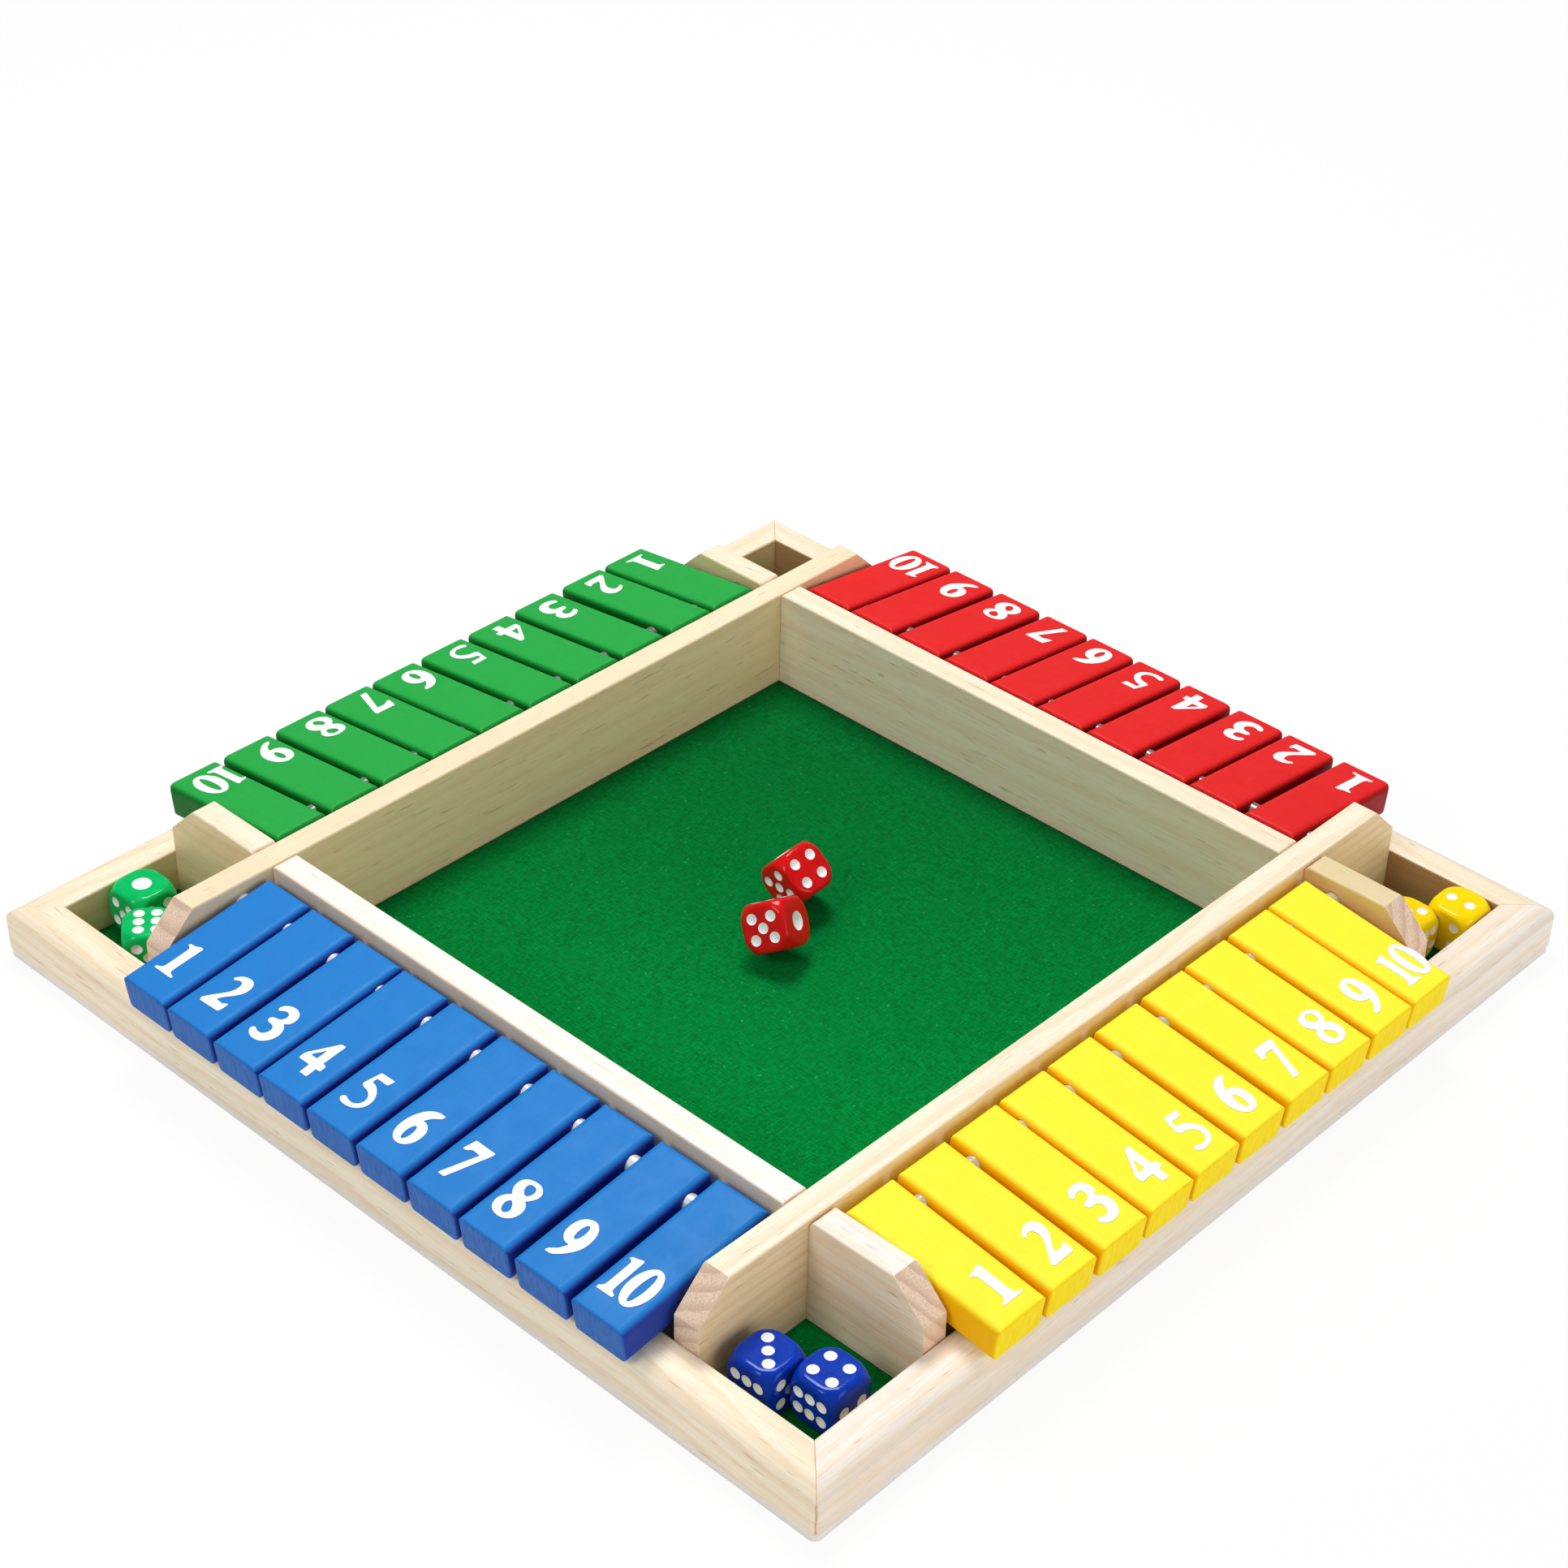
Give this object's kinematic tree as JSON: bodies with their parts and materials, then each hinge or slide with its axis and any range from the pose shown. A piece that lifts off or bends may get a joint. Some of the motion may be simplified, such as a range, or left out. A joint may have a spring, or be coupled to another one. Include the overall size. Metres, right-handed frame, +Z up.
{
  "type": "shut the box game board",
  "caption": "Square wooden dice game with a felt pit, rows of flip-over number tiles on steel rods along every side, corner compartments and loose dice.",
  "frame": {"origin": "middle of the underside of the base board", "axes": "+Z up out of the pit; the blue row lies to -Y, yellow to +X, red to +Y and green to -X"},
  "size_m": [0.305, 0.305, 0.0337],
  "materials": {
    "base_wood": "plain sanded board",
    "pine_rail": "fine-sanded pale pine under a thin clear satin lacquer",
    "pine_wall": "fine-sanded pale pine under a thin clear satin lacquer",
    "felt": "matt short-nap green felt",
    "steel_rod": "bright drawn steel rod",
    "blue_paint": "satin blue paint on wood",
    "yellow_paint": "satin yellow paint on wood",
    "red_paint": "satin red paint on wood",
    "green_paint": "satin green paint on wood",
    "blue_die_plastic": "polished plastic, white pips",
    "yellow_die_plastic": "polished plastic, white pips",
    "red_die_plastic": "polished plastic, white pips",
    "green_die_plastic": "polished plastic, white pips"
  },
  "bodies": {
    "board": {"base_board": "base_wood", "felt_lining": "felt", "rail_front": "pine_rail", "rail_right": "pine_rail", "rail_back": "pine_rail", "rail_left": "pine_rail", "long_partition_right": "pine_wall", "long_partition_left": "pine_wall", "pit_wall_front": "pine_wall", "pit_wall_back": "pine_wall", "corner_stubs": "pine_wall", "tile_rods": "steel_rod"},
    "blue_tile_1": {"blue_tile_1": "blue_paint"},
    "blue_tile_2": {"blue_tile_2": "blue_paint"},
    "blue_tile_3": {"blue_tile_3": "blue_paint"},
    "blue_tile_4": {"blue_tile_4": "blue_paint"},
    "blue_tile_5": {"blue_tile_5": "blue_paint"},
    "blue_tile_6": {"blue_tile_6": "blue_paint"},
    "blue_tile_7": {"blue_tile_7": "blue_paint"},
    "blue_tile_8": {"blue_tile_8": "blue_paint"},
    "blue_tile_9": {"blue_tile_9": "blue_paint"},
    "blue_tile_10": {"blue_tile_10": "blue_paint"},
    "yellow_tile_1": {"yellow_tile_1": "yellow_paint"},
    "yellow_tile_2": {"yellow_tile_2": "yellow_paint"},
    "yellow_tile_3": {"yellow_tile_3": "yellow_paint"},
    "yellow_tile_4": {"yellow_tile_4": "yellow_paint"},
    "yellow_tile_5": {"yellow_tile_5": "yellow_paint"},
    "yellow_tile_6": {"yellow_tile_6": "yellow_paint"},
    "yellow_tile_7": {"yellow_tile_7": "yellow_paint"},
    "yellow_tile_8": {"yellow_tile_8": "yellow_paint"},
    "yellow_tile_9": {"yellow_tile_9": "yellow_paint"},
    "yellow_tile_10": {"yellow_tile_10": "yellow_paint"},
    "red_tile_1": {"red_tile_1": "red_paint"},
    "red_tile_2": {"red_tile_2": "red_paint"},
    "red_tile_3": {"red_tile_3": "red_paint"},
    "red_tile_4": {"red_tile_4": "red_paint"},
    "red_tile_5": {"red_tile_5": "red_paint"},
    "red_tile_6": {"red_tile_6": "red_paint"},
    "red_tile_7": {"red_tile_7": "red_paint"},
    "red_tile_8": {"red_tile_8": "red_paint"},
    "red_tile_9": {"red_tile_9": "red_paint"},
    "red_tile_10": {"red_tile_10": "red_paint"},
    "green_tile_1": {"green_tile_1": "green_paint"},
    "green_tile_2": {"green_tile_2": "green_paint"},
    "green_tile_3": {"green_tile_3": "green_paint"},
    "green_tile_4": {"green_tile_4": "green_paint"},
    "green_tile_5": {"green_tile_5": "green_paint"},
    "green_tile_6": {"green_tile_6": "green_paint"},
    "green_tile_7": {"green_tile_7": "green_paint"},
    "green_tile_8": {"green_tile_8": "green_paint"},
    "green_tile_9": {"green_tile_9": "green_paint"},
    "green_tile_10": {"green_tile_10": "green_paint"},
    "blue_die_1": {"blue_die_1": "blue_die_plastic"},
    "blue_die_2": {"blue_die_2": "blue_die_plastic"},
    "yellow_die_1": {"yellow_die_1": "yellow_die_plastic"},
    "yellow_die_2": {"yellow_die_2": "yellow_die_plastic"},
    "red_die_1": {"red_die_1": "red_die_plastic"},
    "red_die_2": {"red_die_2": "red_die_plastic"},
    "green_die_1": {"green_die_1": "green_die_plastic"},
    "green_die_2": {"green_die_2": "green_die_plastic"}
  },
  "joints": [
    {"name": "blue_tile_1_flip", "type": "hinge", "parent": "board", "child": "blue_tile_1", "pos_m": [-0.08375, -0.112, 0.0273], "axis": [-1, 0, 0], "range_deg": [0, 119]},
    {"name": "blue_tile_2_flip", "type": "hinge", "parent": "board", "child": "blue_tile_2", "pos_m": [-0.06575, -0.112, 0.0273], "axis": [-1, 0, 0], "range_deg": [0, 136.1]},
    {"name": "blue_tile_3_flip", "type": "hinge", "parent": "board", "child": "blue_tile_3", "pos_m": [-0.04715, -0.112, 0.0273], "axis": [-1, 0, 0], "range_deg": [0, 136.1]},
    {"name": "blue_tile_4_flip", "type": "hinge", "parent": "board", "child": "blue_tile_4", "pos_m": [-0.02935, -0.112, 0.0273], "axis": [-1, 0, 0], "range_deg": [0, 136.1]},
    {"name": "blue_tile_5_flip", "type": "hinge", "parent": "board", "child": "blue_tile_5", "pos_m": [-0.01085, -0.112, 0.0273], "axis": [-1, 0, 0], "range_deg": [0, 136.1]},
    {"name": "blue_tile_6_flip", "type": "hinge", "parent": "board", "child": "blue_tile_6", "pos_m": [0.00765, -0.112, 0.0273], "axis": [-1, 0, 0], "range_deg": [0, 136.1]},
    {"name": "blue_tile_7_flip", "type": "hinge", "parent": "board", "child": "blue_tile_7", "pos_m": [0.02615, -0.112, 0.0273], "axis": [-1, 0, 0], "range_deg": [0, 136.1]},
    {"name": "blue_tile_8_flip", "type": "hinge", "parent": "board", "child": "blue_tile_8", "pos_m": [0.04475, -0.112, 0.0273], "axis": [-1, 0, 0], "range_deg": [0, 136.1]},
    {"name": "blue_tile_9_flip", "type": "hinge", "parent": "board", "child": "blue_tile_9", "pos_m": [0.06405, -0.112, 0.0273], "axis": [-1, 0, 0], "range_deg": [0, 136.1]},
    {"name": "blue_tile_10_flip", "type": "hinge", "parent": "board", "child": "blue_tile_10", "pos_m": [0.08315, -0.112, 0.0273], "axis": [-1, 0, 0], "range_deg": [0, 136.1]},
    {"name": "yellow_tile_1_flip", "type": "hinge", "parent": "board", "child": "yellow_tile_1", "pos_m": [0.112, -0.08385, 0.0273], "axis": [0, -1, 0], "range_deg": [0, 119]},
    {"name": "yellow_tile_2_flip", "type": "hinge", "parent": "board", "child": "yellow_tile_2", "pos_m": [0.112, -0.06515, 0.0273], "axis": [0, -1, 0], "range_deg": [0, 136.1]},
    {"name": "yellow_tile_3_flip", "type": "hinge", "parent": "board", "child": "yellow_tile_3", "pos_m": [0.112, -0.04605, 0.0273], "axis": [0, -1, 0], "range_deg": [0, 136.1]},
    {"name": "yellow_tile_4_flip", "type": "hinge", "parent": "board", "child": "yellow_tile_4", "pos_m": [0.112, -0.02795, 0.0273], "axis": [0, -1, 0], "range_deg": [0, 136.1]},
    {"name": "yellow_tile_5_flip", "type": "hinge", "parent": "board", "child": "yellow_tile_5", "pos_m": [0.112, -0.00955, 0.0273], "axis": [0, -1, 0], "range_deg": [0, 136.1]},
    {"name": "yellow_tile_6_flip", "type": "hinge", "parent": "board", "child": "yellow_tile_6", "pos_m": [0.112, 0.00915, 0.0273], "axis": [0, -1, 0], "range_deg": [0, 136.1]},
    {"name": "yellow_tile_7_flip", "type": "hinge", "parent": "board", "child": "yellow_tile_7", "pos_m": [0.112, 0.02815, 0.0273], "axis": [0, -1, 0], "range_deg": [0, 136.1]},
    {"name": "yellow_tile_8_flip", "type": "hinge", "parent": "board", "child": "yellow_tile_8", "pos_m": [0.112, 0.04635, 0.0273], "axis": [0, -1, 0], "range_deg": [0, 136.1]},
    {"name": "yellow_tile_9_flip", "type": "hinge", "parent": "board", "child": "yellow_tile_9", "pos_m": [0.112, 0.06495, 0.0273], "axis": [0, -1, 0], "range_deg": [0, 136.1]},
    {"name": "yellow_tile_10_flip", "type": "hinge", "parent": "board", "child": "yellow_tile_10", "pos_m": [0.112, 0.08275, 0.0273], "axis": [0, -1, 0], "range_deg": [0, 136.1]},
    {"name": "red_tile_1_flip", "type": "hinge", "parent": "board", "child": "red_tile_1", "pos_m": [0.08215, 0.112, 0.0273], "axis": [1, 0, 0], "range_deg": [0, 119]},
    {"name": "red_tile_2_flip", "type": "hinge", "parent": "board", "child": "red_tile_2", "pos_m": [0.06275, 0.112, 0.0273], "axis": [1, 0, 0], "range_deg": [0, 136.1]},
    {"name": "red_tile_3_flip", "type": "hinge", "parent": "board", "child": "red_tile_3", "pos_m": [0.04465, 0.112, 0.0273], "axis": [1, 0, 0], "range_deg": [0, 136.1]},
    {"name": "red_tile_4_flip", "type": "hinge", "parent": "board", "child": "red_tile_4", "pos_m": [0.02565, 0.112, 0.0273], "axis": [1, 0, 0], "range_deg": [0, 136.1]},
    {"name": "red_tile_5_flip", "type": "hinge", "parent": "board", "child": "red_tile_5", "pos_m": [0.00715, 0.112, 0.0273], "axis": [1, 0, 0], "range_deg": [0, 136.1]},
    {"name": "red_tile_6_flip", "type": "hinge", "parent": "board", "child": "red_tile_6", "pos_m": [-0.01085, 0.112, 0.0273], "axis": [1, 0, 0], "range_deg": [0, 136.1]},
    {"name": "red_tile_7_flip", "type": "hinge", "parent": "board", "child": "red_tile_7", "pos_m": [-0.02875, 0.112, 0.0273], "axis": [1, 0, 0], "range_deg": [0, 136.1]},
    {"name": "red_tile_8_flip", "type": "hinge", "parent": "board", "child": "red_tile_8", "pos_m": [-0.04755, 0.112, 0.0273], "axis": [1, 0, 0], "range_deg": [0, 136.1]},
    {"name": "red_tile_9_flip", "type": "hinge", "parent": "board", "child": "red_tile_9", "pos_m": [-0.06625, 0.112, 0.0273], "axis": [1, 0, 0], "range_deg": [0, 136.1]},
    {"name": "red_tile_10_flip", "type": "hinge", "parent": "board", "child": "red_tile_10", "pos_m": [-0.08405, 0.112, 0.0273], "axis": [1, 0, 0], "range_deg": [0, 136.1]},
    {"name": "green_tile_1_flip", "type": "hinge", "parent": "board", "child": "green_tile_1", "pos_m": [-0.112, 0.08405, 0.0273], "axis": [0, 1, 0], "range_deg": [0, 119]},
    {"name": "green_tile_2_flip", "type": "hinge", "parent": "board", "child": "green_tile_2", "pos_m": [-0.112, 0.06595, 0.0273], "axis": [0, 1, 0], "range_deg": [0, 136.1]},
    {"name": "green_tile_3_flip", "type": "hinge", "parent": "board", "child": "green_tile_3", "pos_m": [-0.112, 0.04615, 0.0273], "axis": [0, 1, 0], "range_deg": [0, 136.1]},
    {"name": "green_tile_4_flip", "type": "hinge", "parent": "board", "child": "green_tile_4", "pos_m": [-0.112, 0.02735, 0.0273], "axis": [0, 1, 0], "range_deg": [0, 136.1]},
    {"name": "green_tile_5_flip", "type": "hinge", "parent": "board", "child": "green_tile_5", "pos_m": [-0.112, 0.00875, 0.0273], "axis": [0, 1, 0], "range_deg": [0, 136.1]},
    {"name": "green_tile_6_flip", "type": "hinge", "parent": "board", "child": "green_tile_6", "pos_m": [-0.112, -0.01005, 0.0273], "axis": [0, 1, 0], "range_deg": [0, 136.1]},
    {"name": "green_tile_7_flip", "type": "hinge", "parent": "board", "child": "green_tile_7", "pos_m": [-0.112, -0.02785, 0.0273], "axis": [0, 1, 0], "range_deg": [0, 136.1]},
    {"name": "green_tile_8_flip", "type": "hinge", "parent": "board", "child": "green_tile_8", "pos_m": [-0.112, -0.04595, 0.0273], "axis": [0, 1, 0], "range_deg": [0, 136.1]},
    {"name": "green_tile_9_flip", "type": "hinge", "parent": "board", "child": "green_tile_9", "pos_m": [-0.112, -0.06455, 0.0273], "axis": [0, 1, 0], "range_deg": [0, 136.1]},
    {"name": "green_tile_10_flip", "type": "hinge", "parent": "board", "child": "green_tile_10", "pos_m": [-0.112, -0.08325, 0.0273], "axis": [0, 1, 0], "range_deg": [0, 136.1]},
    {"name": "blue_die_1_lift", "type": "slide", "parent": "board", "child": "blue_die_1", "axis": [0, 0, 1], "range_m": [0, 0.05]},
    {"name": "blue_die_2_lift", "type": "slide", "parent": "board", "child": "blue_die_2", "axis": [0, 0, 1], "range_m": [0, 0.05]},
    {"name": "yellow_die_1_lift", "type": "slide", "parent": "board", "child": "yellow_die_1", "axis": [0, 0, 1], "range_m": [0, 0.05]},
    {"name": "yellow_die_2_lift", "type": "slide", "parent": "board", "child": "yellow_die_2", "axis": [0, 0, 1], "range_m": [0, 0.05]},
    {"name": "red_die_1_lift", "type": "slide", "parent": "board", "child": "red_die_1", "axis": [0, 0, 1], "range_m": [0, 0.05]},
    {"name": "red_die_2_lift", "type": "slide", "parent": "board", "child": "red_die_2", "axis": [0, 0, 1], "range_m": [0, 0.05]},
    {"name": "green_die_1_lift", "type": "slide", "parent": "board", "child": "green_die_1", "axis": [0, 0, 1], "range_m": [0, 0.05]},
    {"name": "green_die_2_lift", "type": "slide", "parent": "board", "child": "green_die_2", "axis": [0, 0, 1], "range_m": [0, 0.05]}
  ]
}
